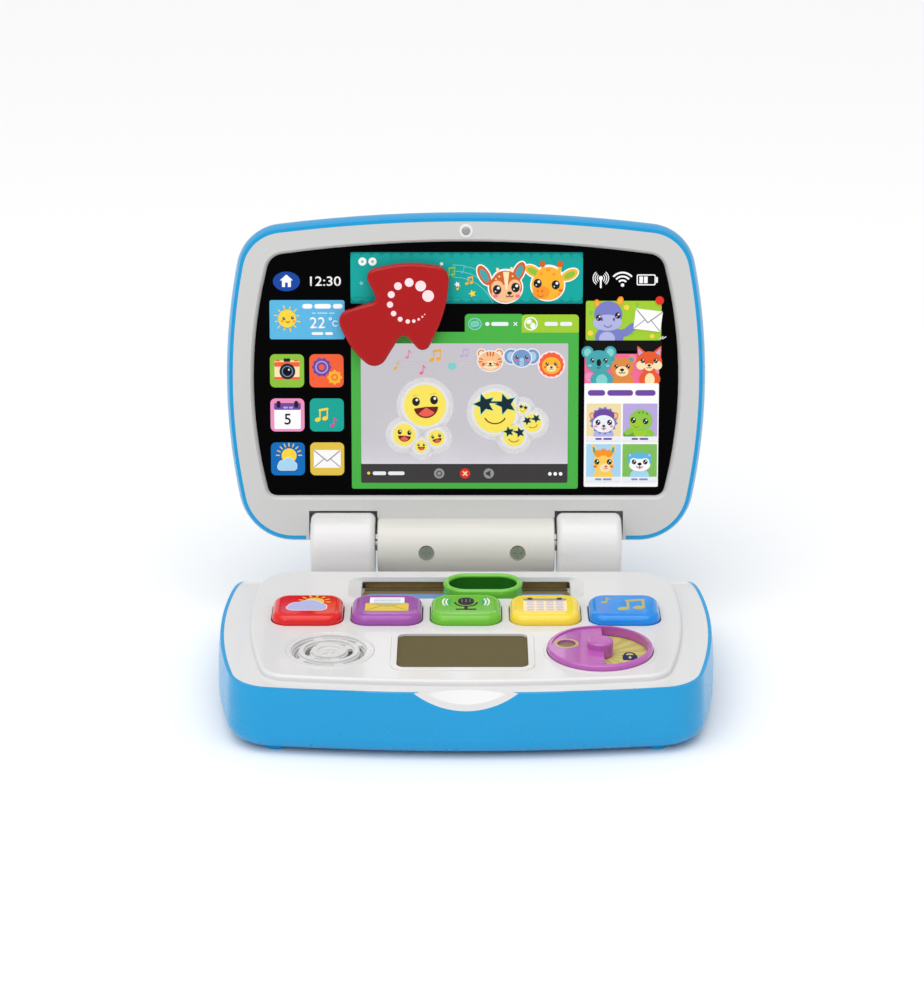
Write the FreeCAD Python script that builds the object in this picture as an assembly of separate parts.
"""Toddler's toy laptop: battery base with five keys, slider and dial, and a folding lid.

Built with the hinge axis along X at Y = 0, the front towards -Y and +Z up, then moved so
that the origin is the middle of the footprint at floor level.  Millimetres throughout.
"""
import FreeCAD, Part
import math
import os

V = FreeCAD.Vector

# ---- overall plan of the base (outer edge of the blue lip) ----
HALF_WIDTH = 121.9      # widest half width of the lip
WIDEST_Y = -78.0        # where the base is widest
SIDE_RADIUS = 292.0     # plan radius of the bowed sides
FRONT_Y = -171.0        # front edge on the centre line
FRONT_RADIUS = 702.0    # plan radius of the bowed front
FRONT_CORNER = 23.0     # plan radius of the front corners
REAR_CORNER = 30.0      # plan radius of the rear corners

# ---- base heights ----
FOOT_HEIGHT = 2.0
RIM_Z = 34.0            # top of the blue lip and of the white deck
PLATFORM_RISE = 3.0     # the key platform stands this much above the deck
BELLY_Z = 16.0          # height where the walls bulge most
BELLY_BULGE = 1.3       # how far the walls bulge past the lip
BOTTOM_ROUND = 8.0      # radius of the bottom edge
REAR_SLOPE_LENGTH = 45.0    # the rear falls away as a quarter ellipse this long
REAR_WALL_Z = 10.0      # height where the rear slope has become upright
DECK_LOW_Z = 14.5       # the deck skin ends here at the rear
SLOPE_START_Y = -43.5   # where the flat deck starts to fall away

# ---- walls ----
LIP = 1.8               # width of the blue lip round the deck
WALL = 2.6              # base shell wall
SKIN = 2.2              # deck skin
FLOOR_WALL = 2.4        # base shell bottom

# ---- hinge ----
AXIS_Z = 43.2           # hinge axis height
OPEN_ANGLE = 99.5       # lid angle from closed, as it stands
BARREL_RADIUS = 14.0
BARREL_HALF = 46.0      # half length of the centre barrel
BARREL_WALL = 2.2
EAR_INNER_X = 47.2      # ears run from here
EAR_OUTER_X = 80.8      # to here
EAR_RADIUS = 16.8
EAR_WALL = 2.4
EAR_SIDE_ROUND = 3.4
EAR_LEAN_DEG = 40.0     # where the rear of the ear leaves its round top
PIN_RADIUS = 3.0
PIN_CLEARANCE = 0.06    # radial running clearance of every turning pin
PIN_HEAD_RADIUS = 5.0
HINGE_GAP = 1.0         # lid to ear, all round
HINGE_SCREW_XS = (-20.5, 26.8)
HINGE_SCREW_DROP = 1.6  # the barrel screws sit this much below the axis with the lid open
HINGE_SCREW_LENGTH = 18.0
HINGE_HEAD_RADIUS = 3.4
HINGE_HEAD_HEIGHT = 1.2
HINGE_WELL_RADIUS = 4.1
HINGE_WELL_DEPTH = 2.2
NOTCH_LINING = 1.6      # white wall round the lid's notches for the ears

# ---- key platform ----
PLATFORM = dict(hw=HALF_WIDTH - 14.6, yw=-73.0, rs=300.0, yf=FRONT_Y + 9.0, rf=640.0, cf=14.0,
                yr=-20.9, cr=19.0)
PLATFORM_SKIN = 2.4
PLATFORM_EDGE = 1.6     # fillet of the platform's top edge

# ---- keys ----
KEY_NAMES = ("weather", "mail", "microphone", "calendar", "music")
KEY_PITCH = 39.4
KEY_WIDTH = 35.0
KEY_DEPTH = 31.0
KEY_CORNER = 8.2
KEY_Y = -79.0
KEY_TOP_Z = 41.8
KEY_TRAVEL = 2.5
KEY_GAP = 0.6
KEY_FLANGE = 1.2
KEY_FLANGE_THICK = 2.0
KEY_EDGE = 3.6          # large round that makes the cap look like a pillow

# ---- slider ----
TRACK_HALF = 53.5       # half length of the straight track
TRACK_MOUTH_HALF = 60.0     # half length of the chamfered mouth
TRACK_BACK_Y = -30.5
TRACK_FRONT_Y = -58.9
TRACK_FLOOR_Z = 29.1
TRACK_WALL = 1.8
SLIT_BOTTOM_Z = 30.6
SLIT_TOP_Z = 34.0
RING_X = 8.6            # the ring as it stands
RING_LENGTH = 40.4
RING_DEPTH = 24.8
RING_CORNER = 12.0
RING_TOP_Z = 40.5
RING_WALL = 3.1
RING_FLOOR = 1.6
RING_LIFT = 0.5         # clearance under the ring

# ---- window ----
WINDOW_X = (-33.4, 30.0)
WINDOW_Y = (FRONT_Y + 23.5, FRONT_Y + 64.5)
WINDOW_CORNER = 4.0
WINDOW_BORDER = 3.2
WINDOW_SINK = 0.5       # lens top below the platform
LENS_FLANGE = 1.6

# ---- dial ----
DIAL_X = 64.9
DIAL_Y = FRONT_Y + 44.3
DIAL_RADIUS = 25.6
DIAL_GAP = 0.4
DIAL_RING_WIDTH = 1.6
DIAL_TOP_Z = 40.2
DIAL_WELL_Z = 35.0      # floor of the dial well
DIAL_LIFT = 0.7         # clearance under the dial
DIAL_RIM = 2.1
DIAL_HUB_RADIUS = 6.4
DIAL_HUB_RISE = 2.9
DIAL_HOLE_RADIUS = 4.4
DIAL_HOLE_AT = (-16.2, 3.8)
DIAL_SHAFT_RADIUS = 4.0

# ---- speaker ----
SPEAKER_X = -66.4
SPEAKER_Y = FRONT_Y + 45.2
GRILLE_RADIUS = 20.35
GRILLE_RINGS = ((18.6, 14.4), (12.4, 8.6))      # outer and inner radius of each slot ring
SPEAKER_RADIUS = 18.0
SPEAKER_DEPTH = 9.0
MAGNET_RADIUS = 9.5
MAGNET_DEPTH = 6.0

# ---- thumb scoop in the front edge ----
SCOOP_HALF = 19.5
SCOOP_DEPTH = 4.6       # below the rim at the front
SCOOP_ANGLE = 43.0      # slope of its bottom

# ---- electronics ----
BOARD_Z = 23.0
BOARD_THICK = 1.6
PAD_THICK = 1.4
DOME_RADIUS = 6.0
DOME_GAP = 0.4          # dome to a fully pressed key
POST_RADIUS = 2.8

# ---- batteries ----
CELL_RADIUS = 7.2
CELL_LENGTH = 50.0
CELL_COUNT = 3
CELL_PITCH = 15.6
BAY_Y = FRONT_Y + 38.0
BAY_END_ROOM = 4.0      # room for the contacts at each end
BAY_WALL = 1.8
DOOR_GAP = 0.3
DOOR_LEDGE = 2.0

# ---- lid, measured from the hinge axis, in its closed position ----
LID_HALF_WIDTH = HALF_WIDTH + 0.7
LID_TOP = -FRONT_Y - 0.4         # hinge axis to the top edge
LID_BOTTOM = 2.6        # hinge axis to the bottom edge
LID_WIDEST = 85.0
LID_SIDE_RADIUS = 310.0
LID_TOP_RADIUS = 789.0
LID_TOP_CORNER = 23.0
LID_BOTTOM_CORNER = 27.0
LID_FACE = 3.0          # bezel face behind the hinge axis plane
LID_THICK = 18.0
LID_BULGE = 2.0
LID_BACK_ROUND = 8.0
LID_WALL = 2.4
BEZEL_THICK = 2.4
SCREEN = dict(hw=LID_HALF_WIDTH - 12.4, yw=-85.0, rs=236.0, yf=12.4 - LID_TOP, rf=700.0, cf=9.0,
              yr=-25.2, cr=5.0)
SCREEN_SINK = 3.5       # screen behind the bezel face
SCREEN_THICK = 1.6
SCREEN_FLANGE = 1.8
BEZEL_FLARE = 1.6       # the screen opening widens this much at the face
MIRROR_X = (-54.6, 53.0)
MIRROR_V = (41.9, 105.3)
MIRROR_THICK = 0.4
CAMERA_V = LID_TOP - 6.6
CAMERA_RADIUS = 3.5

# ---- pointer on the screen ----
POINTER_HUB = (-28.1, 128.4)
POINTER_OUTLINE = ((-53.0, 143.3, 4.5), (-31.0, 148.3, 60.0), (-8.2, 145.2, 7.5),
                   (-10.2, 123.0, 70.0), (-21.3, 99.2, 4.2), (-32.6, 112.0, 3.2),
                   (-45.8, 90.6, 8.0), (-58.8, 102.0, 60.0), (-68.2, 121.5, 6.5),
                   (-45.4, 128.0, 2.4))       # corner x, height on the lid, corner radius
POINTER_FRONT = 0.9     # pointer face in front of the hinge axis plane
POINTER_STAND = 0.4     # over the bezel face
POINTER_EDGE = 1.6
POINTER_SKIRT_RADIUS = 28.4
POINTER_SKIRT_GAP = 0.5
PIVOT_RADIUS = 3.2

# ---- screws ----
SCREW_HEAD_RADIUS = 3.0
SCREW_HEAD_HEIGHT = 2.0
SCREW_SHANK_RADIUS = 1.3
SCREW_SHANK_LENGTH = 8.0
SCREW_WELL_RADIUS = 3.8
BOSS_WALL = 1.8
SCREW_X = HALF_WIDTH - 25.9
BASE_SCREWS = ((-SCREW_X, -38.0), (SCREW_X, -38.0), (4.0 - SCREW_X, FRONT_Y + 23.0),
               (SCREW_X - 4.0, FRONT_Y + 23.0))
LID_SCREWS = ((-SCREW_X - 2.0, 140.0), (0.0, 28.0), (SCREW_X + 2.0, 140.0), (-SCREW_X, 34.0),
              (SCREW_X, 34.0))
FOOT_X = HALF_WIDTH - 30.9
FEET = ((-FOOT_X, FRONT_Y + 17.0), (FOOT_X, FRONT_Y + 17.0), (-FOOT_X, -16.0), (FOOT_X, -16.0))
FOOT_RADIUS = 6.0
FOOT_EDGE = 0.6

PLATFORM_Z = RIM_Z + PLATFORM_RISE
UNDER_PLATFORM = PLATFORM_Z - PLATFORM_SKIN
REAR_Y = SLOPE_START_Y + REAR_SLOPE_LENGTH
FACE_Z = AXIS_Z + LID_FACE          # bezel face, lid closed
SCREEN_Z = FACE_Z + SCREEN_SINK     # screen face, lid closed
BACK_Z = FACE_Z + LID_THICK         # outside of the lid's back
FAR = 400.0


# ---------------------------------------------------------------- outlines
def circles_meet(c1, r1, c2, r2):
    """Meeting points of two plan circles."""
    delta = c2 - c1
    gap = delta.Length
    along = (r1 * r1 - r2 * r2 + gap * gap) / (2 * gap)
    across = math.sqrt(r1 * r1 - along * along)
    unit = delta * (1 / gap)
    foot = c1 + unit * along
    side = V(-unit.y, unit.x, 0)
    return foot + side * across, foot - side * across


def outline(plan, inset=0.0, z=0.0):
    """Closed wire: bowed front, bowed sides, straight rear, round corners, inset all round."""
    hw, rs = plan["hw"] - inset, plan["rs"] - inset
    yf, rf = plan["yf"] + inset, plan["rf"] - inset
    yr = plan["yr"] - inset
    cf, cr = max(plan["cf"] - inset, 0.6), max(plan["cr"] - inset, 0.6)
    side = V(hw - rs, plan["yw"], 0)
    front = V(0, yf + rf, 0)
    corner = max(circles_meet(side, rs - cf, front, rf - cf), key=lambda p: (p.y < front.y, p.x))
    on_front = front + (corner - front).normalize() * rf
    on_side = side + (corner - side).normalize() * rs
    rear_corner = V(side.x + math.sqrt((rs - cr) ** 2 - (yr - cr - side.y) ** 2), yr - cr, 0)
    side_end = side + (rear_corner - side).normalize() * rs
    rear = V(rear_corner.x, yr, 0)
    mid_corner = corner + ((on_front + on_side) * 0.5 - corner).normalize() * cf
    mid_rear = rear_corner + ((rear + side_end) * 0.5 - rear_corner).normalize() * cr
    mid_side = side + ((on_side + side_end) * 0.5 - side).normalize() * rs

    def flip(p):
        return V(-p.x, p.y, z)

    def up(p):
        return V(p.x, p.y, z)

    edges = [Part.Arc(flip(on_front), V(0, yf, z), up(on_front)),
             Part.Arc(up(on_front), up(mid_corner), up(on_side)),
             Part.Arc(up(on_side), up(mid_side), up(side_end)),
             Part.Arc(up(side_end), up(mid_rear), up(rear)),
             Part.LineSegment(up(rear), flip(rear)),
             Part.Arc(flip(rear), flip(mid_rear), flip(side_end)),
             Part.Arc(flip(side_end), flip(mid_side), flip(on_side)),
             Part.Arc(flip(on_side), flip(mid_corner), flip(on_front))]
    return Part.Wire([edge.toShape() for edge in edges])


def prism(wire, z0, z1):
    """Solid between two heights over a plan wire drawn at height 0."""
    solid = Part.Face(wire).extrude(V(0, 0, z1 - z0))
    solid.translate(V(0, 0, z0))
    return solid


def rounded_box(x0, x1, y0, y1, z0, z1, corner):
    """Box with round vertical edges."""
    box = Part.makeBox(x1 - x0, y1 - y0, z1 - z0, V(x0, y0, z0))
    upright = [e for e in box.Edges if abs(e.tangentAt(e.FirstParameter).z) > 0.9]
    return box.makeFillet(corner, upright)


def rounded_wire(x0, x1, y0, y1, corner, z):
    """Plan wire of a rectangle with round corners."""
    box = rounded_box(x0, x1, y0, y1, z, z + 1.0, corner)
    return min(box.Faces, key=lambda f: f.CenterOfMass.z).OuterWire


def smooth_polygon(points, z):
    """Closed wire through corners (x, y, radius), each rounded by a tangent arc."""
    count = len(points)
    tangents = []
    for i, (x, y, radius) in enumerate(points):
        here = V(x, y, z)
        to_last = V(points[i - 1][0], points[i - 1][1], z) - here
        to_next = V(points[(i + 1) % count][0], points[(i + 1) % count][1], z) - here
        half = to_last.getAngle(to_next) / 2
        reach = min(radius / math.tan(half), 0.47 * min(to_last.Length, to_next.Length))
        radius = reach * math.tan(half)
        middle = (to_last.normalize() + to_next.normalize()).normalize()
        centre = here + middle * (radius / math.sin(half))
        tangents.append((here + to_last * reach, centre - middle * radius, here + to_next * reach))
    edges = []
    for i, (start, mid, end) in enumerate(tangents):
        edges.append(Part.Arc(start, mid, end).toShape())
        following = tangents[(i + 1) % count][0]
        edges.append(Part.LineSegment(end, following).toShape())
    return Part.Wire(edges)


def cylinder(x, y, radius, z0, z1):
    return Part.makeCylinder(radius, z1 - z0, V(x, y, z0))


def x_cylinder(radius, x0, x1, y=0.0, z=AXIS_Z):
    return Part.makeCylinder(radius, x1 - x0, V(x0, y, z), V(1, 0, 0))


def fillet_level(shape, radius, z):
    """Round the edges that lie flat at height z."""
    level = [e for e in shape.Edges if abs(e.BoundBox.ZMin - z) < 1e-4 and abs(e.BoundBox.ZMax - z) < 1e-4]
    return shape.makeFillet(radius, level)


def fuse(first, *others):
    return first.fuse(list(others)).removeSplitter() if others else first


def cut(shape, *tools):
    return shape.cut(list(tools)) if tools else shape


# ---------------------------------------------------------------- base
BASE_PLAN = dict(hw=HALF_WIDTH, yw=WIDEST_Y, rs=SIDE_RADIUS, yf=FRONT_Y, rf=FRONT_RADIUS,
                 cf=FRONT_CORNER, yr=REAR_Y, cr=REAR_CORNER)


def profile_solid(inset, bottom):
    """Solid below the top of the base, seen from the side: flat, then the rear quarter ellipse."""
    top, rear = RIM_Z - inset, REAR_Y - inset
    across, rise = rear - SLOPE_START_Y, top - REAR_WALL_Z
    centre = V(-FAR, SLOPE_START_Y, REAR_WALL_Z)
    start, end = centre + V(0, 0, rise), centre + V(0, across, 0)
    curve = Part.Ellipse(end, start, centre) if across >= rise else Part.Ellipse(start, end, centre)
    first, last = sorted((curve.parameter(start), curve.parameter(end)))
    if last - first > math.pi:
        first, last = last, first + 2 * math.pi
    corners = [end, V(-FAR, rear, bottom), V(-FAR, -FAR, bottom), V(-FAR, -FAR, top), start]
    edges = [curve.toShape(first, last)]
    edges += [Part.LineSegment(p, q).toShape() for p, q in zip(corners, corners[1:])]
    wire = Part.Wire(Part.__sortEdges__(edges))
    return Part.Face(wire).extrude(V(2 * FAR, 0, 0))


def base_block(inset, floor_z):
    """The base's outer form, inset all round: round bottom edge, slight belly, lip at the top."""
    belly = outline(BASE_PLAN, inset - BELLY_BULGE)
    low = prism(belly, floor_z, BELLY_Z)
    sections = [outline(BASE_PLAN, inset - BELLY_BULGE * share, BELLY_Z + (RIM_Z - BELLY_Z) * rise)
                for share, rise in ((1.0, 0.0), (0.75, 0.5), (0.0, 1.0))]
    block = low.fuse(Part.makeLoft(sections, True, False))
    return fillet_level(block, BOTTOM_ROUND - inset, floor_z)


def scoop(extra):
    """Cutter for the thumb scoop, its radius grown by extra to make the skin under it."""
    slope = math.radians(SCOOP_ANGLE)
    sag = SCOOP_DEPTH * math.cos(slope)
    radius = (SCOOP_HALF ** 2 + sag ** 2) / (2 * sag)
    along = V(0, -math.cos(slope), -math.sin(slope))
    above = V(0, -math.sin(slope), math.cos(slope))
    bottom = V(0, FRONT_Y, RIM_Z - SCOOP_DEPTH)
    start = bottom + above * radius - along * 60
    return Part.makeCylinder(radius + extra, 120, start, along)


def inner_plan(inset):
    """Everything inside the base's plan, inset all round."""
    return prism(outline(BASE_PLAN, inset), 0, RIM_Z + 1)


def deck_form():
    """White deck skin before its openings: edge, rear slope, scoop and raised platform."""
    footprint = prism(outline(BASE_PLAN, LIP), DECK_LOW_Z, RIM_Z)
    outer = footprint.common(profile_solid(0, -5)).cut(scoop(0))
    inner = footprint.common(profile_solid(SKIN, -5)).cut(scoop(SKIN))
    nose = base_block(0, FOOT_HEIGHT).common(scoop(SKIN)).cut([scoop(0), inner_plan(LIP + 0.2)])
    skin = outer.cut(inner).fuse(nose)
    platform = fillet_level(prism(outline(PLATFORM), RIM_Z - 14, PLATFORM_Z), PLATFORM_EDGE, PLATFORM_Z)
    pocket = prism(outline(PLATFORM, PLATFORM_SKIN), RIM_Z - 20, UNDER_PLATFORM)
    below = profile_solid(SKIN, -5)
    return skin.fuse(platform.cut(below)).cut(pocket).removeSplitter()


def key_place(index):
    return (index - 2) * KEY_PITCH


def key_hole(index, grow, z0, z1):
    x = key_place(index)
    half_w, half_d = KEY_WIDTH / 2 + grow, KEY_DEPTH / 2 + grow
    return rounded_box(x - half_w, x + half_w, KEY_Y - half_d, KEY_Y + half_d, z0, z1, KEY_CORNER + grow)


def track_cut():
    """Slider track: chamfered mouth over a straight well."""
    low_z = PLATFORM_Z - 3.6
    mouth = Part.makeLoft([rounded_wire(-TRACK_MOUTH_HALF, TRACK_MOUTH_HALF, TRACK_FRONT_Y - 0.4,
                                        TRACK_BACK_Y + 0.4, 7.0, PLATFORM_Z + 0.01),
                           rounded_wire(-TRACK_HALF, TRACK_HALF, TRACK_FRONT_Y, TRACK_BACK_Y,
                                        2.0, low_z)], True, True)
    well = rounded_box(-TRACK_HALF, TRACK_HALF, TRACK_FRONT_Y, TRACK_BACK_Y, TRACK_FLOOR_Z,
                       low_z + 0.01, 2.0)
    return mouth.fuse(well)


def track_tub():
    """Walls and floor of the slider track below the platform."""
    w = TRACK_WALL
    deep = rounded_box(-TRACK_HALF - w, TRACK_HALF + w, TRACK_FRONT_Y - w, TRACK_BACK_Y + w,
                       TRACK_FLOOR_Z - w, UNDER_PLATFORM + 0.5, 2.0 + w)
    ends = rounded_box(-TRACK_MOUTH_HALF - w, TRACK_MOUTH_HALF + w, TRACK_FRONT_Y - w,
                       TRACK_BACK_Y + w, UNDER_PLATFORM - 3.0, UNDER_PLATFORM + 0.5, 6.0)
    return deep.fuse(ends)


def post_places():
    """Posts that hold the circuit board, clear of the keys and of the track."""
    rear_y = TRACK_FRONT_Y + 2.0
    front_y = KEY_Y - KEY_DEPTH / 2 - KEY_FLANGE - POST_RADIUS - 0.8
    inner = (KEY_PITCH * 1.5, front_y)
    outer = (TRACK_MOUTH_HALF + TRACK_WALL + POST_RADIUS + 4.0, rear_y)
    return [(side * x, y) for side in (-1, 1) for x, y in (inner, outer)]


def boss(x, y, radius, z0, z1, bore):
    return cylinder(x, y, radius, z0, z1).cut(cylinder(x, y, bore, z0 - 1, z1 + 1))


def screw_seat_z():
    """Height of the step that the base screws pull against."""
    return FOOT_HEIGHT + 12.0


def make_deck():
    deck = deck_form()
    frame_x = (WINDOW_X[0] - WINDOW_BORDER, WINDOW_X[1] + WINDOW_BORDER)
    frame_y = (WINDOW_Y[0] - WINDOW_BORDER, WINDOW_Y[1] + WINDOW_BORDER)
    border = fillet_level(rounded_box(*frame_x, *frame_y, UNDER_PLATFORM, PLATFORM_Z + 0.6,
                                    WINDOW_CORNER + WINDOW_BORDER), 0.5, PLATFORM_Z + 0.6)
    ring_radius = DIAL_RADIUS + DIAL_GAP + DIAL_RING_WIDTH
    dial_ring = fillet_level(cylinder(DIAL_X, DIAL_Y, ring_radius, UNDER_PLATFORM, PLATFORM_Z + 0.5),
                           0.4, PLATFORM_Z + 0.5)
    dial_tub = cylinder(DIAL_X, DIAL_Y, DIAL_RADIUS + DIAL_GAP + TRACK_WALL,
                        DIAL_WELL_Z - TRACK_WALL, UNDER_PLATFORM + 0.5)
    posts = [cylinder(x, y, POST_RADIUS, BOARD_Z + BOARD_THICK, UNDER_PLATFORM + 0.3)
             for x, y in post_places()]
    screw_posts = [cylinder(x, y, SCREW_WELL_RADIUS, screw_seat_z(), UNDER_PLATFORM + 0.3).common(
        below_surface()) for x, y in BASE_SCREWS]
    deck = deck.fuse([border, dial_ring, dial_tub, track_tub()] + posts + screw_posts)
    well = cylinder(DIAL_X, DIAL_Y, DIAL_RADIUS + DIAL_GAP, DIAL_WELL_Z, PLATFORM_Z + 5)
    tools = [well, cylinder(DIAL_X, DIAL_Y, DIAL_SHAFT_RADIUS + PIN_CLEARANCE, 0, 60), track_cut(),
             Part.makeBox(2 * TRACK_HALF, TRACK_WALL + 2, SLIT_TOP_Z - SLIT_BOTTOM_Z,
                          V(-TRACK_HALF, TRACK_BACK_Y - 1, SLIT_BOTTOM_Z)),
             rounded_box(*WINDOW_X, *WINDOW_Y, 20, 60, WINDOW_CORNER),
             cylinder(SPEAKER_X, SPEAKER_Y, GRILLE_RADIUS, 20, 60)]
    tools += [key_hole(i, KEY_GAP, 20, 60) for i in range(len(KEY_NAMES))]
    tools += [cylinder(x, y, SCREW_SHANK_RADIUS, screw_seat_z() - 1, screw_seat_z() + SCREW_SHANK_LENGTH)
              for x, y in BASE_SCREWS]
    return deck.cut(tools).removeSplitter()


def below_surface():
    """Solid up to the middle of the deck skin and just into the platform."""
    platform = prism(outline(PLATFORM, PLATFORM_SKIN / 2), 0, UNDER_PLATFORM + 0.3)
    return profile_solid(SKIN / 2, -5).fuse(platform)


def bay_box(grow, z0, z1):
    half_x = CELL_LENGTH / 2 + BAY_END_ROOM + grow
    half_y = CELL_PITCH * CELL_COUNT / 2 + grow
    return Part.makeBox(2 * half_x, 2 * half_y, z1 - z0, V(-half_x, BAY_Y - half_y, z0))


def make_base_shell():
    outer = base_block(0, FOOT_HEIGHT).common(profile_solid(0, FOOT_HEIGHT - 1))
    cavity = base_block(WALL, FOOT_HEIGHT + FLOOR_WALL)
    cavity = cavity.common(profile_solid(SKIN, 0)).cut(scoop(SKIN))
    seat = prism(outline(BASE_PLAN, LIP), DECK_LOW_Z, RIM_Z + 1).common(
        profile_solid(-1, -5)).cut(profile_solid(SKIN, -6).cut(scoop(SKIN)))
    shell = outer.cut([scoop(SKIN), seat, cavity])
    bay_top = FOOT_HEIGHT + FLOOR_WALL + 2 * CELL_RADIUS + 2.0
    bay = bay_box(BAY_WALL, FOOT_HEIGHT, bay_top + BAY_WALL)
    bosses = [cylinder(x, y, SCREW_WELL_RADIUS + BOSS_WALL, FOOT_HEIGHT + 0.5, screw_seat_z())
              for x, y in BASE_SCREWS]
    shell = shell.fuse([bay] + bosses)
    tools = [bay_box(0, FOOT_HEIGHT + FLOOR_WALL - 0.01, bay_top),
             bay_box(-DOOR_LEDGE, FOOT_HEIGHT - 1, bay_top),
             bay_box(DOOR_GAP, FOOT_HEIGHT - 1, FOOT_HEIGHT + FLOOR_WALL / 2)]
    for x, y in BASE_SCREWS:
        tools.append(cylinder(x, y, SCREW_WELL_RADIUS, -1, screw_seat_z() - 2.0))
        tools.append(cylinder(x, y, SCREW_SHANK_RADIUS, 0, screw_seat_z() + 1))
    return shell.cut(tools).removeSplitter()


def make_base_feet():
    """Four round pads bonded under the shell."""
    return Part.Compound([fillet_level(cylinder(x, y, FOOT_RADIUS, 0, FOOT_HEIGHT), FOOT_EDGE, 0)
                          for x, y in FEET])


def make_battery_door():
    plate = bay_box(0, FOOT_HEIGHT, FOOT_HEIGHT + FLOOR_WALL / 2)
    tongue = bay_box(-DOOR_LEDGE - DOOR_GAP, FOOT_HEIGHT, FOOT_HEIGHT + FLOOR_WALL)
    grip = [Part.makeBox(18, 1.2, 1.0, V(-9, BAY_Y + 8 + 3 * i, FOOT_HEIGHT - 0.6)) for i in range(3)]
    x, y = door_screw_place()
    door = plate.fuse([tongue] + grip)
    return door.cut([cylinder(x, y, SCREW_SHANK_RADIUS, 0, 20),
                     cylinder(x, y, SCREW_HEAD_RADIUS, 0, FOOT_HEIGHT + 0.9)]).removeSplitter()


def door_screw_place():
    return 0.0, BAY_Y - CELL_PITCH * CELL_COUNT / 2 + DOOR_LEDGE + SCREW_HEAD_RADIUS + 1.5


def make_door_screw():
    x, y = door_screw_place()
    top = FOOT_HEIGHT + 0.9
    head = cylinder(x, y, SCREW_HEAD_RADIUS, top - 0.8, top)
    shank = cylinder(x, y, SCREW_SHANK_RADIUS, top, FOOT_HEIGHT + FLOOR_WALL)
    slot = Part.makeBox(2 * SCREW_HEAD_RADIUS, 0.8, 0.6, V(x - SCREW_HEAD_RADIUS, y - 0.4, top - 0.9))
    return head.fuse(shank).cut(slot)


def cell_places():
    first = BAY_Y - CELL_PITCH * (CELL_COUNT - 1) / 2
    z = FOOT_HEIGHT + FLOOR_WALL + CELL_RADIUS + 0.2
    return [(first + CELL_PITCH * i, z) for i in range(CELL_COUNT)]


def make_cells():
    cells = []
    for i, (y, z) in enumerate(cell_places()):
        side = 1 if i % 2 else -1
        body = x_cylinder(CELL_RADIUS, -CELL_LENGTH / 2, CELL_LENGTH / 2 - 1.5, y, z)
        cap = x_cylinder(2.6, CELL_LENGTH / 2 - 1.5, CELL_LENGTH / 2, y, z)
        cell = body.fuse(cap)
        cells.append(cell if side > 0 else cell.rotate(V(0, y, z), V(0, 0, 1), 180) or cell)
    return Part.Compound(cells)


def make_contacts():
    """Plates at both ends of the battery bay, each with a pressed dimple or spring cup."""
    pieces = []
    half = CELL_LENGTH / 2 + BAY_END_ROOM
    for y, z in cell_places():
        for side in (-1, 1):
            plate = Part.makeBox(0.5, 11, 11, V(side * half - (0.5 if side > 0 else 0), y - 5.5, z - 5.5))
            inner = half - 0.5
            reach = inner - (CELL_LENGTH / 2 + 0.1)
            cone = Part.makeCone(4.2, 2.2, reach, V(side * inner, y, z), V(-side, 0, 0))
            pieces.append(plate.fuse(cone).removeSplitter())
    return Part.Compound(pieces)


def make_base_screws():
    seat = screw_seat_z() - 2.0
    screws = []
    for x, y in BASE_SCREWS:
        head = cylinder(x, y, SCREW_HEAD_RADIUS, seat - SCREW_HEAD_HEIGHT, seat)
        shank = cylinder(x, y, SCREW_SHANK_RADIUS, seat, seat + SCREW_SHANK_LENGTH)
        screws.append(head.fuse(shank).cut(cross_slot(V(x, y, seat - SCREW_HEAD_HEIGHT), V(0, 0, 1))))
    return Part.Compound(screws)


def cross_slot(at, into, span=3.2, width=0.7):
    """Cross recess for a screw head, its mouth at a point and sinking along a direction."""
    bars = [Part.makeBox(span, width, 1.0, V(-span / 2, -width / 2, 0)),
            Part.makeBox(width, span, 1.0, V(-width / 2, -span / 2, 0))]
    slot = bars[0].fuse(bars[1])
    slot.Placement = FreeCAD.Placement(at, FreeCAD.Rotation(V(0, 0, 1), into))
    return slot


# ---------------------------------------------------------------- base contents
def make_key(index):
    """Pillow-topped key cap with a stem and a retaining flange under the platform."""
    x = key_place(index)
    flange_top = UNDER_PLATFORM - 0.4
    cap = fillet_level(key_hole(index, 0, flange_top - 1, KEY_TOP_Z), KEY_EDGE, KEY_TOP_Z)
    flange = key_hole(index, KEY_FLANGE, flange_top - KEY_FLANGE_THICK, flange_top)
    hollow = key_hole(index, -2.0, flange_top - KEY_FLANGE_THICK - 1, KEY_TOP_Z - 3.0)
    stem = cylinder(x, KEY_Y, 3.0, flange_top - KEY_FLANGE_THICK, KEY_TOP_Z - 2.0)
    return cap.fuse(flange).cut(hollow).fuse(stem).removeSplitter()


def board_span():
    xs = [abs(x) for x, _ in post_places()] + [2.0 * KEY_PITCH + KEY_WIDTH / 2 - 1]
    ys = [y for _, y in post_places()]
    return max(xs) + 2.0, min(ys) - POST_RADIUS - 1, max(ys) + POST_RADIUS + 1


def make_board():
    half, y0, y1 = board_span()
    return rounded_box(-half, half, y0, y1, BOARD_Z, BOARD_Z + BOARD_THICK, 2.0)


def make_board_parts():
    """Sound chip, crystal, capacitors and LEDs on the underside of the circuit board."""
    top = BOARD_Z
    parts = [Part.makeBox(16, 12, 3, V(-8, KEY_Y - 6, top - 3)),
             Part.makeBox(10, 6, 2.4, V(26, KEY_Y - 3, top - 2.4)),
             cylinder(-26, KEY_Y, 4.0, top - 7, top),
             cylinder(-40, KEY_Y, 3.0, top - 6, top),
             Part.makeBox(11, 4.6, 3.6, V(46, KEY_Y - 2.3, top - 3.6))]
    return Part.Compound(parts)


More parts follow.
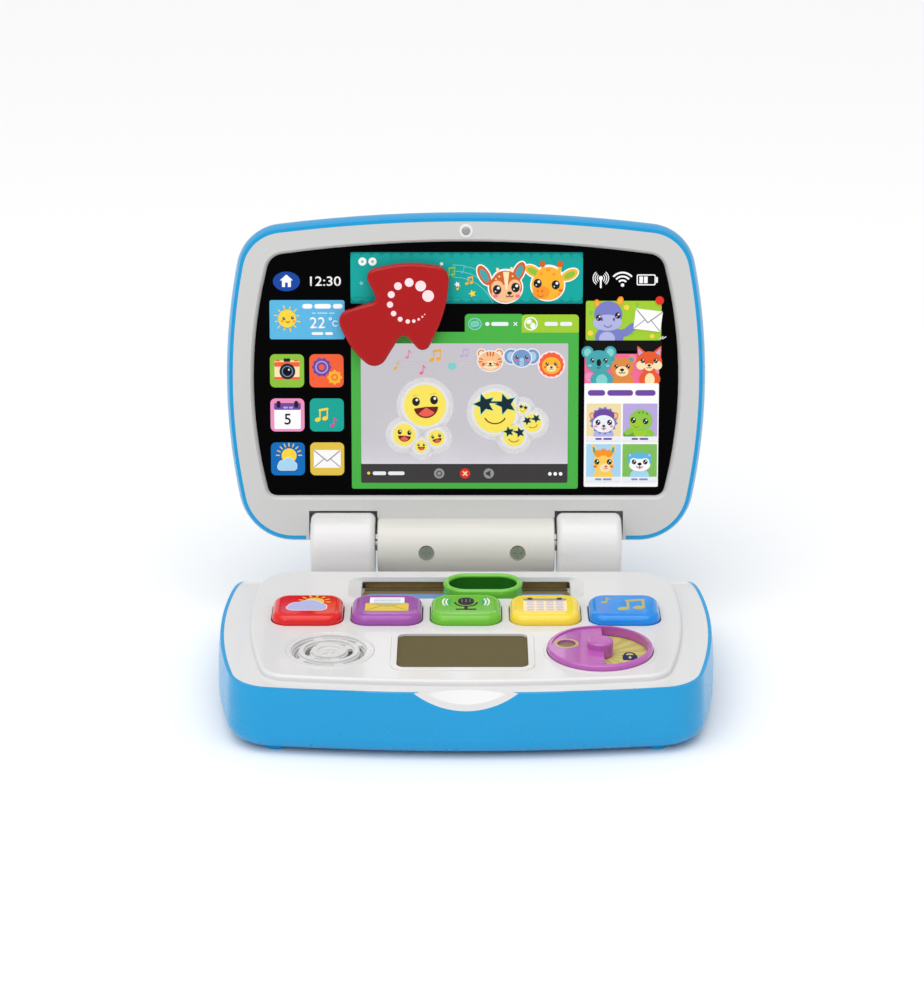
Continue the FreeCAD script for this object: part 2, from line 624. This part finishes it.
def make_key_pad():
    """Rubber sheet on the board with a dome under each key."""
    half_x = 2 * KEY_PITCH + KEY_WIDTH / 2 - 4
    z0 = BOARD_Z + BOARD_THICK
    front_limit = KEY_Y - KEY_DEPTH / 2 + 1.0
    sheet = rounded_box(-half_x, half_x, front_limit, KEY_Y + KEY_DEPTH / 2 - 1.0, z0, z0 + PAD_THICK, 2.0)
    flange_bottom = UNDER_PLATFORM - 0.4 - KEY_FLANGE_THICK
    dome_top = flange_bottom - KEY_TRAVEL - DOME_GAP
    domes = [Part.makeCone(DOME_RADIUS, DOME_RADIUS * 0.6, dome_top - z0 - PAD_THICK,
                           V(key_place(i), KEY_Y, z0 + PAD_THICK)) for i in range(len(KEY_NAMES))]
    return sheet.fuse(domes).removeSplitter()


def make_slider_ring():
    """Cup for a finger, with a rounded rim, riding in the track."""
    z0 = TRACK_FLOOR_Z + 0.2 + RING_LIFT
    y = (TRACK_BACK_Y + TRACK_FRONT_Y) / 2
    half_x, half_y = RING_LENGTH / 2, RING_DEPTH / 2
    body = rounded_box(RING_X - half_x, RING_X + half_x, y - half_y, y + half_y, z0, RING_TOP_Z,
                       RING_CORNER)
    well = rounded_box(RING_X - half_x + RING_WALL, RING_X + half_x - RING_WALL, y - half_y + RING_WALL,
                       y + half_y - RING_WALL, z0 + RING_FLOOR, RING_TOP_Z + 1, RING_CORNER - RING_WALL)
    ring = body.cut(well)
    top = [e for e in ring.Edges if abs(e.BoundBox.ZMin - RING_TOP_Z) < 1e-4]
    return ring.makeFillet(1.3, top)


def make_slider_carriage():
    """Tongue through the slit behind the ring, with the contact carrier behind the wall."""
    y = (TRACK_BACK_Y + TRACK_FRONT_Y) / 2
    z0, z1 = SLIT_BOTTOM_Z + 0.5, SLIT_TOP_Z - 0.5
    back = TRACK_BACK_Y + TRACK_WALL + 0.4
    front = y + RING_DEPTH / 2
    tongue = Part.makeBox(16, back - front + 0.5, z1 - z0, V(RING_X - 8, front, z0))
    carrier = Part.makeBox(22, 2.4, 6.0, V(RING_X - 11, back, z1 - 5.0))
    return tongue.fuse(carrier).removeSplitter()


def make_slider_label():
    inset = 0.4
    return rounded_box(-TRACK_HALF + inset, TRACK_HALF - inset, TRACK_FRONT_Y + inset,
                       TRACK_BACK_Y - inset, TRACK_FLOOR_Z, TRACK_FLOOR_Z + 0.2, 2.0)


def make_window_lens():
    top = PLATFORM_Z - WINDOW_SINK
    lens = rounded_box(*WINDOW_X, *WINDOW_Y, UNDER_PLATFORM - 0.5, top, WINDOW_CORNER)
    flange = rounded_box(WINDOW_X[0] - LENS_FLANGE, WINDOW_X[1] + LENS_FLANGE, WINDOW_Y[0] - LENS_FLANGE,
                         WINDOW_Y[1] + LENS_FLANGE, UNDER_PLATFORM - 1.2, UNDER_PLATFORM,
                         WINDOW_CORNER + LENS_FLANGE)
    return lens.fuse(flange).removeSplitter()


def make_light_board():
    """Strip with the lamps that light the window."""
    y = (WINDOW_Y[0] + WINDOW_Y[1]) / 2
    x = (WINDOW_X[0] + WINDOW_X[1]) / 2
    z = UNDER_PLATFORM - 8
    board = Part.makeBox(50, 14, 1.2, V(x - 25, y - 7, z))
    lamps = [cylinder(x - 18 + 12 * i, y, 1.5, z + 1.2, z + 4.5) for i in range(4)]
    return board.fuse(lamps)


def make_dial():
    """Half covered dial: rim all round, left half closed with a hole, hub in the middle."""
    z0 = DIAL_WELL_Z + DIAL_LIFT
    disc = fillet_level(cylinder(DIAL_X, DIAL_Y, DIAL_RADIUS, z0, DIAL_TOP_Z), 1.1, DIAL_TOP_Z)
    sink = cylinder(DIAL_X, DIAL_Y, DIAL_RADIUS - DIAL_RIM, DIAL_TOP_Z - 0.7, DIAL_TOP_Z + 1)
    open_half = cylinder(DIAL_X, DIAL_Y, DIAL_RADIUS - DIAL_RIM, z0 - 1, DIAL_TOP_Z + 1).common(
        Part.makeBox(60, 120, 60, V(DIAL_X + 1.5, DIAL_Y - 60, 0)))
    hole = cylinder(DIAL_X + DIAL_HOLE_AT[0], DIAL_Y + DIAL_HOLE_AT[1], DIAL_HOLE_RADIUS, 0, 80)
    hub = fillet_level(cylinder(DIAL_X, DIAL_Y, DIAL_HUB_RADIUS, z0, DIAL_TOP_Z + DIAL_HUB_RISE), 1.2,
                     DIAL_TOP_Z + DIAL_HUB_RISE)
    shaft = cylinder(DIAL_X, DIAL_Y, DIAL_SHAFT_RADIUS, DIAL_WELL_Z - TRACK_WALL - 2.4, z0 + 1)
    return disc.cut([sink, open_half, hole]).fuse([hub, shaft]).removeSplitter()


def make_dial_clip():
    z1 = DIAL_WELL_Z - TRACK_WALL - 0.3
    ring = boss(DIAL_X, DIAL_Y, 7.0, z1 - 1.4, z1, DIAL_SHAFT_RADIUS)
    return ring


def make_dial_label():
    return boss(DIAL_X, DIAL_Y, DIAL_RADIUS - 0.4, DIAL_WELL_Z, DIAL_WELL_Z + 0.25, DIAL_SHAFT_RADIUS + 1.0)


def make_grille():
    """Round insert with ribbed rings over the speaker."""
    z1 = PLATFORM_Z + 0.2
    disc = cylinder(SPEAKER_X, SPEAKER_Y, GRILLE_RADIUS, UNDER_PLATFORM, z1)
    tools = []
    for outer, inner in GRILLE_RINGS:
        tools.append(boss(SPEAKER_X, SPEAKER_Y, outer, z1 - 1.2, z1 + 1, inner))
        slot = boss(SPEAKER_X, SPEAKER_Y, outer - 0.7, UNDER_PLATFORM - 1, z1, inner + 0.7)
        bridges = [turned_box(angle, 60, 4.5) for angle in (35, 110)]
        tools.append(slot.cut(bridges))
    tools.append(cylinder(SPEAKER_X, SPEAKER_Y, 5.6, z1 - 0.8, z1 + 1))
    return disc.cut(tools).removeSplitter()


def turned_box(angle, length, width):
    box = Part.makeBox(length, width, 80, V(-length / 2, -width / 2, 0))
    box.rotate(V(0, 0, 0), V(0, 0, 1), angle)
    box.translate(V(SPEAKER_X, SPEAKER_Y, 0))
    return box


def make_speaker_frame():
    z1 = UNDER_PLATFORM
    rim = boss(SPEAKER_X, SPEAKER_Y, GRILLE_RADIUS + 1.5, z1 - 1.0, z1, SPEAKER_RADIUS - 1.0)
    outer = Part.makeCone(MAGNET_RADIUS, SPEAKER_RADIUS, SPEAKER_DEPTH - 1.0,
                          V(SPEAKER_X, SPEAKER_Y, z1 - SPEAKER_DEPTH))
    inner = Part.makeCone(MAGNET_RADIUS - 1.0, SPEAKER_RADIUS - 1.0, SPEAKER_DEPTH - 1.0,
                          V(SPEAKER_X, SPEAKER_Y, z1 - SPEAKER_DEPTH))
    return rim.fuse(outer.cut(inner)).removeSplitter()


def make_speaker_cone():
    z1 = UNDER_PLATFORM - 1.2
    outer = Part.makeCone(5.0, SPEAKER_RADIUS - 1.8, 5.0, V(SPEAKER_X, SPEAKER_Y, z1 - 5.0))
    inner = Part.makeCone(4.4, SPEAKER_RADIUS - 2.4, 5.0, V(SPEAKER_X, SPEAKER_Y, z1 - 5.0))
    cap = Part.makeCylinder(5.0, 0.6, V(SPEAKER_X, SPEAKER_Y, z1 - 5.0))
    return outer.cut(inner).fuse(cap).removeSplitter()


def make_speaker_magnet():
    z1 = UNDER_PLATFORM - SPEAKER_DEPTH
    return cylinder(SPEAKER_X, SPEAKER_Y, MAGNET_RADIUS, z1 - MAGNET_DEPTH, z1)


# ---------------------------------------------------------------- hinge
def ear_profile(radius, front_y, low_z):
    """Ear seen from the side: straight front, round top, rear leaning in to the base."""
    lean = math.radians(EAR_LEAN_DEG)
    leave = V(0, radius * math.cos(lean), AXIS_Z - radius * math.sin(lean))
    drop = (leave.z - low_z) / math.cos(lean)
    foot = leave + V(0, -math.sin(lean), -math.cos(lean)) * drop
    front_top, front_low = V(0, front_y, AXIS_Z), V(0, front_y, low_z)
    arc = Part.Arc(front_top, V(0, 0, AXIS_Z + radius), leave).toShape()
    lines = [(leave, foot), (foot, front_low), (front_low, front_top)]
    return Part.Wire([arc] + [Part.LineSegment(a, b).toShape() for a, b in lines])


def make_ear(side):
    """Hollow hinge ear that stands on the rear slope of the deck."""
    low_z = FOOT_HEIGHT + 10.0
    length = EAR_OUTER_X - EAR_INNER_X
    solid = Part.Face(ear_profile(EAR_RADIUS, -EAR_RADIUS, low_z)).extrude(V(length, 0, 0))
    solid.translate(V(EAR_INNER_X, 0, 0))
    outer_edges = [e for e in solid.Edges if e.BoundBox.XLength < 1e-4 and e.BoundBox.ZMax > low_z + 1]
    solid = solid.makeFillet(EAR_SIDE_ROUND, outer_edges)
    hollow_r = EAR_RADIUS - EAR_WALL
    hollow = Part.Face(ear_profile(hollow_r, -hollow_r, low_z - 1)).extrude(V(length - 2 * EAR_WALL, 0, 0))
    hollow.translate(V(EAR_INNER_X + EAR_WALL, 0, 0))
    bore = x_cylinder(PIN_RADIUS, EAR_INNER_X - 1, EAR_INNER_X + EAR_WALL + 1)
    platform = prism(outline(PLATFORM), 0, PLATFORM_Z + 1)
    ear = solid.cut([hollow, bore, profile_solid(0, -5), platform])
    return ear if side > 0 else ear.mirror(V(0, 0, 0), V(1, 0, 0))


def make_pin(side):
    """Hinge pin: head inside the ear, its end running in the barrel's end wall."""
    head_x = EAR_INNER_X + EAR_WALL
    end_x = BARREL_HALF - 9.0
    pin = x_cylinder(PIN_RADIUS, end_x, head_x).fuse(x_cylinder(PIN_HEAD_RADIUS, head_x, head_x + 2.5))
    pin = pin.removeSplitter()
    return pin if side > 0 else pin.mirror(V(0, 0, 0), V(1, 0, 0))


def make_clutch(side):
    """Friction sleeve round the pin's end, keyed in the barrel."""
    outer = BARREL_RADIUS - BARREL_WALL - 2.0
    x0, x1 = BARREL_HALF - 9.0, BARREL_HALF - 3.4
    sleeve = x_cylinder(outer, x0, x1).cut(x_cylinder(PIN_RADIUS + PIN_CLEARANCE, x0 - 1, x1 + 1))
    return sleeve if side > 0 else sleeve.mirror(V(0, 0, 0), V(1, 0, 0))


def barrel_half(front):
    """One half of the centre barrel, split on the bezel's face plane, lid closed."""
    body = x_cylinder(BARREL_RADIUS, -BARREL_HALF, BARREL_HALF)
    ends = [e for e in body.Edges if e.BoundBox.XLength < 1e-4]
    body = body.makeFillet(0.8, ends)
    inner = BARREL_HALF - 3.0
    hollow = x_cylinder(BARREL_RADIUS - BARREL_WALL, -inner, inner)
    bore = x_cylinder(PIN_RADIUS + PIN_CLEARANCE, -FAR, FAR)
    below = Part.makeBox(2 * FAR, 2 * FAR, FAR, V(-FAR, -FAR, FACE_Z - FAR))
    low, high = AXIS_Z - BARREL_RADIUS, AXIS_Z + BARREL_RADIUS
    posts = [cylinder(x, HINGE_SCREW_DROP, HINGE_WELL_RADIUS + BOSS_WALL, low, high).common(
        x_cylinder(BARREL_RADIUS - 1.0, -BARREL_HALF, BARREL_HALF)) for x in HINGE_SCREW_XS]
    body = body.cut([hollow, bore]).fuse(posts)
    half = body.common(below) if front else body.cut(below)
    wells = []
    for x in HINGE_SCREW_XS:
        seat = low + HINGE_WELL_DEPTH
        wells.append(cylinder(x, HINGE_SCREW_DROP, HINGE_WELL_RADIUS, low - 1, seat))
        wells.append(cylinder(x, HINGE_SCREW_DROP, SCREW_SHANK_RADIUS, low, seat + HINGE_SCREW_LENGTH))
    return half.cut(wells).removeSplitter()


def make_barrel_screws():
    screws = []
    for x in HINGE_SCREW_XS:
        y, seat = HINGE_SCREW_DROP, AXIS_Z - BARREL_RADIUS + HINGE_WELL_DEPTH
        mouth = seat - HINGE_HEAD_HEIGHT
        head = cylinder(x, y, HINGE_HEAD_RADIUS, mouth, seat)
        shank = cylinder(x, y, SCREW_SHANK_RADIUS, seat, seat + HINGE_SCREW_LENGTH)
        screws.append(head.fuse(shank).cut(cross_slot(V(x, y, mouth), V(0, 0, 1), 4.8, 1.1)))
    return Part.Compound(screws)


# ---------------------------------------------------------------- lid (drawn closed)
LID_PLAN = dict(hw=LID_HALF_WIDTH, yw=-LID_WIDEST, rs=LID_SIDE_RADIUS, yf=-LID_TOP, rf=LID_TOP_RADIUS,
                cf=LID_TOP_CORNER, yr=-LID_BOTTOM, cr=LID_BOTTOM_CORNER)


def lid_block(inset, z0, z1):
    """The lid's outer form: lip, slight bulge, then a round edge into the flat back."""
    radius = LID_BACK_ROUND - inset
    knee = z1 - radius - 0.5
    sections = [outline(LID_PLAN, inset - LID_BULGE * share, z0 + (knee - z0) * rise)
                for share, rise in ((0.0, 0.0), (0.75, 0.5), (1.0, 1.0))]
    back = prism(outline(LID_PLAN, inset - LID_BULGE), knee, z1)
    return fillet_level(back.fuse(Part.makeLoft(sections, True, False)), radius, z1)


def ear_notches(grow):
    """Round cutters for the two ears with their clearance, made larger all round by grow."""
    reach = EAR_RADIUS + HINGE_GAP + grow
    inner, outer = BARREL_HALF + 0.3 - grow, EAR_OUTER_X + HINGE_GAP + 0.2 + grow
    return [x_cylinder(reach, inner, outer), x_cylinder(reach, -outer, -inner)]


def hinge_clearance():
    """What the lid leaves free: round the two ears and round the centre barrel."""
    barrel = x_cylinder(BARREL_RADIUS, -BARREL_HALF - 0.31, BARREL_HALF + 0.31)
    return ear_notches(0) + [barrel]


def notch_linings():
    """White walls of the lid's two ear notches, from the face to the back."""
    block = lid_block(0, FACE_Z, BACK_Z)
    return [notch.common(block) for notch in ear_notches(NOTCH_LINING)]


def lid_post_top(x, v):
    return BACK_Z - LID_WALL - 3.0


def make_lid_shell():
    outer = lid_block(0, FACE_Z, BACK_Z)
    inner = lid_block(LID_WALL, FACE_Z - 0.5, BACK_Z - LID_WALL)
    seat = prism(outline(LID_PLAN, LIP), FACE_Z - 1, FACE_Z + BEZEL_THICK)
    shell = outer.cut([inner, seat])
    wells, bosses = [], []
    for x, v in LID_SCREWS:
        seat_z = lid_post_top(x, v)
        bosses.append(cylinder(x, -v, SCREW_WELL_RADIUS + BOSS_WALL, seat_z, BACK_Z - 0.5))
        wells.append(cylinder(x, -v, SCREW_WELL_RADIUS, seat_z + 1.6, BACK_Z + 1))
        wells.append(cylinder(x, -v, SCREW_SHANK_RADIUS, seat_z - 1, BACK_Z))
    return shell.fuse(bosses).cut(wells + ear_notches(NOTCH_LINING) + hinge_clearance()).removeSplitter()


def make_bezel():
    """White frame: face, sloping opening down to the screen, and posts for the lid screws."""
    face = prism(outline(LID_PLAN, LIP), FACE_Z, FACE_Z + BEZEL_THICK)
    wall = prism(outline(SCREEN, -SCREEN_FLANGE - 0.6), FACE_Z, SCREEN_Z)
    opening = Part.makeLoft([outline(SCREEN, -BEZEL_FLARE - 0.02, FACE_Z - 0.02),
                             outline(SCREEN, -BEZEL_FLARE * 0.35, FACE_Z + SCREEN_SINK * 0.35),
                             outline(SCREEN, 0, SCREEN_Z)], True, False)
    opening = opening.fuse(prism(outline(SCREEN), SCREEN_Z - 0.01, SCREEN_Z + 5))
    posts = [cylinder(x, -v, SCREW_WELL_RADIUS, FACE_Z + BEZEL_THICK - 0.5, lid_post_top(x, v))
             for x, v in LID_SCREWS if not inside_screen(x, v)]
    bores = [cylinder(x, -v, SCREW_SHANK_RADIUS, lid_post_top(x, v) - 7, lid_post_top(x, v) + 1)
             for x, v in LID_SCREWS]
    lens = cylinder(0, -CAMERA_V, CAMERA_RADIUS, FACE_Z - 1, FACE_Z + 10)
    bezel = face.fuse([wall] + posts + notch_linings()).cut([opening, lens] + bores + hinge_clearance())
    return bezel.removeSplitter()


def inside_screen(x, v):
    edge = outline(SCREEN, -SCREEN_FLANGE - 0.6)
    return Part.Face(edge).isInside(V(x, -v, 0), 1e-6, True)


def make_screen():
    """Printed screen panel, with posts for the lid screws behind it."""
    panel = prism(outline(SCREEN, -SCREEN_FLANGE), SCREEN_Z, SCREEN_Z + SCREEN_THICK)
    posts = [cylinder(x, -v, SCREW_WELL_RADIUS, SCREEN_Z + SCREEN_THICK * 0.5, lid_post_top(x, v))
             for x, v in LID_SCREWS if inside_screen(x, v)]
    hub_x, hub_v = POINTER_HUB
    tools = [cylinder(hub_x, -hub_v, PIVOT_RADIUS + PIN_CLEARANCE, 0, 100)]
    tools += [cylinder(x, -v, SCREW_SHANK_RADIUS, lid_post_top(x, v) - 7, lid_post_top(x, v) + 1)
              for x, v in LID_SCREWS]
    return panel.fuse(posts).cut(tools).removeSplitter()


def make_mirror():
    return rounded_box(*MIRROR_X, -MIRROR_V[1], -MIRROR_V[0], SCREEN_Z - MIRROR_THICK, SCREEN_Z, 0.6)


def make_camera_lens():
    return fillet_level(cylinder(0, -CAMERA_V, CAMERA_RADIUS, FACE_Z - 0.3, FACE_Z + BEZEL_THICK), 0.25,
                      FACE_Z - 0.3)


def make_lid_screws():
    screws = []
    for x, v in LID_SCREWS:
        seat = lid_post_top(x, v) + 1.6
        head = cylinder(x, -v, SCREW_HEAD_RADIUS, seat, seat + SCREW_HEAD_HEIGHT)
        shank = cylinder(x, -v, SCREW_SHANK_RADIUS, seat - SCREW_SHANK_LENGTH, seat)
        slot = cross_slot(V(x, -v, seat + SCREW_HEAD_HEIGHT), V(0, 0, -1))
        screws.append(head.fuse(shank).cut(slot))
    return Part.Compound(screws)


def pointer_wire(z):
    return smooth_polygon([(x, -v, radius) for x, v, radius in POINTER_OUTLINE], z)


def make_pointer():
    """Red arrow that turns on the screen; its skirt stays inside the bezel's opening."""
    front_z = AXIS_Z - POINTER_FRONT
    back_z = FACE_Z - POINTER_STAND
    plate = Part.Face(pointer_wire(front_z)).extrude(V(0, 0, back_z - front_z))
    plate = fillet_level(plate, POINTER_EDGE, front_z)
    hub_x, hub_v = POINTER_HUB
    skirt_end = SCREEN_Z - MIRROR_THICK - POINTER_SKIRT_GAP
    skirt = Part.Face(pointer_wire(back_z)).extrude(V(0, 0, skirt_end - back_z)).common(
        cylinder(hub_x, -hub_v, POINTER_SKIRT_RADIUS, 0, 100))
    screw_hole = cylinder(hub_x, -hub_v, SCREW_SHANK_RADIUS, front_z + 2.0, SCREEN_Z)
    return plate.fuse(skirt).cut(screw_hole).removeSplitter()


def make_pointer_pivot():
    """Shaft through the screen panel, from the arrow's back to its retaining washer."""
    hub_x, hub_v = POINTER_HUB
    z0 = SCREEN_Z - MIRROR_THICK - POINTER_SKIRT_GAP
    z1 = SCREEN_Z + SCREEN_THICK + 0.4
    return boss(hub_x, -hub_v, PIVOT_RADIUS, z0, z1, SCREW_SHANK_RADIUS)


def make_pointer_washer():
    hub_x, hub_v = POINTER_HUB
    z0 = SCREEN_Z + SCREEN_THICK + 0.4
    return boss(hub_x, -hub_v, 7.0, z0, z0 + 1.0, SCREW_SHANK_RADIUS)


def make_pointer_screw():
    hub_x, hub_v = POINTER_HUB
    seat = SCREEN_Z + SCREEN_THICK + 1.4
    head = cylinder(hub_x, -hub_v, SCREW_HEAD_RADIUS, seat, seat + SCREW_HEAD_HEIGHT)
    shank = cylinder(hub_x, -hub_v, SCREW_SHANK_RADIUS, AXIS_Z - POINTER_FRONT + 2.0, seat)
    return head.fuse(shank).cut(cross_slot(V(hub_x, -hub_v, seat + SCREW_HEAD_HEIGHT), V(0, 0, -1)))


# ---------------------------------------------------------------- assembly
def base_nodes():
    nodes = {"base_shell": make_base_shell(), "base_feet": make_base_feet(), "base_deck": make_deck(),
             "hinge_ear_left": make_ear(-1), "hinge_ear_right": make_ear(1),
             "hinge_pin_left": make_pin(-1), "hinge_pin_right": make_pin(1),
             "battery_door": make_battery_door(), "battery_door_screw": make_door_screw(),
             "battery_cells": make_cells(), "battery_contacts": make_contacts(),
             "base_screws": make_base_screws(), "circuit_board": make_board(),
             "board_components": make_board_parts(), "key_pad": make_key_pad(),
             "slider_ring": make_slider_ring(), "slider_carriage": make_slider_carriage(),
             "slider_label": make_slider_label(), "window_lens": make_window_lens(),
             "light_board": make_light_board(), "dial_disc": make_dial(),
             "dial_clip": make_dial_clip(), "dial_label": make_dial_label(),
             "speaker_grille": make_grille(), "speaker_frame": make_speaker_frame(),
             "speaker_cone": make_speaker_cone(), "speaker_magnet": make_speaker_magnet()}
    for index, name in enumerate(KEY_NAMES):
        nodes["key_" + name] = make_key(index)
    return nodes


def lid_nodes():
    nodes = {"lid_shell": make_lid_shell(), "lid_bezel": make_bezel(),
             "hinge_barrel_front": barrel_half(True), "hinge_barrel_back": barrel_half(False),
             "hinge_clutch_left": make_clutch(-1), "hinge_clutch_right": make_clutch(1),
             "barrel_screws": make_barrel_screws(), "screen_panel": make_screen(),
             "mirror_sheet": make_mirror(), "camera_lens": make_camera_lens(),
             "lid_screws": make_lid_screws(), "pointer_arrow": make_pointer(),
             "pointer_pivot": make_pointer_pivot(), "pointer_washer": make_pointer_washer(),
             "pointer_screw": make_pointer_screw()}
    for shape in nodes.values():
        shape.rotate(V(0, 0, AXIS_Z), V(1, 0, 0), -OPEN_ANGLE)
    return nodes


def main():
    nodes = base_nodes()
    nodes.update(lid_nodes())
    box = FreeCAD.BoundBox()
    for shape in nodes.values():
        box.add(shape.optimalBoundingBox())
    shift = V(-box.Center.x, -box.Center.y, -box.ZMin)
    os.makedirs("parts", exist_ok=True)
    for name, shape in nodes.items():
        shape.translate(shift)
        shape.exportStep("parts/%s.step" % name)
        if not shape.isValid() or shape.Volume <= 0:
            print("INVALID", name)
    print("nodes", len(nodes), "shift", tuple(round(c, 4) for c in shift))
    print("size", round(box.XLength, 2), round(box.YLength, 2), round(box.ZLength, 2))


main()
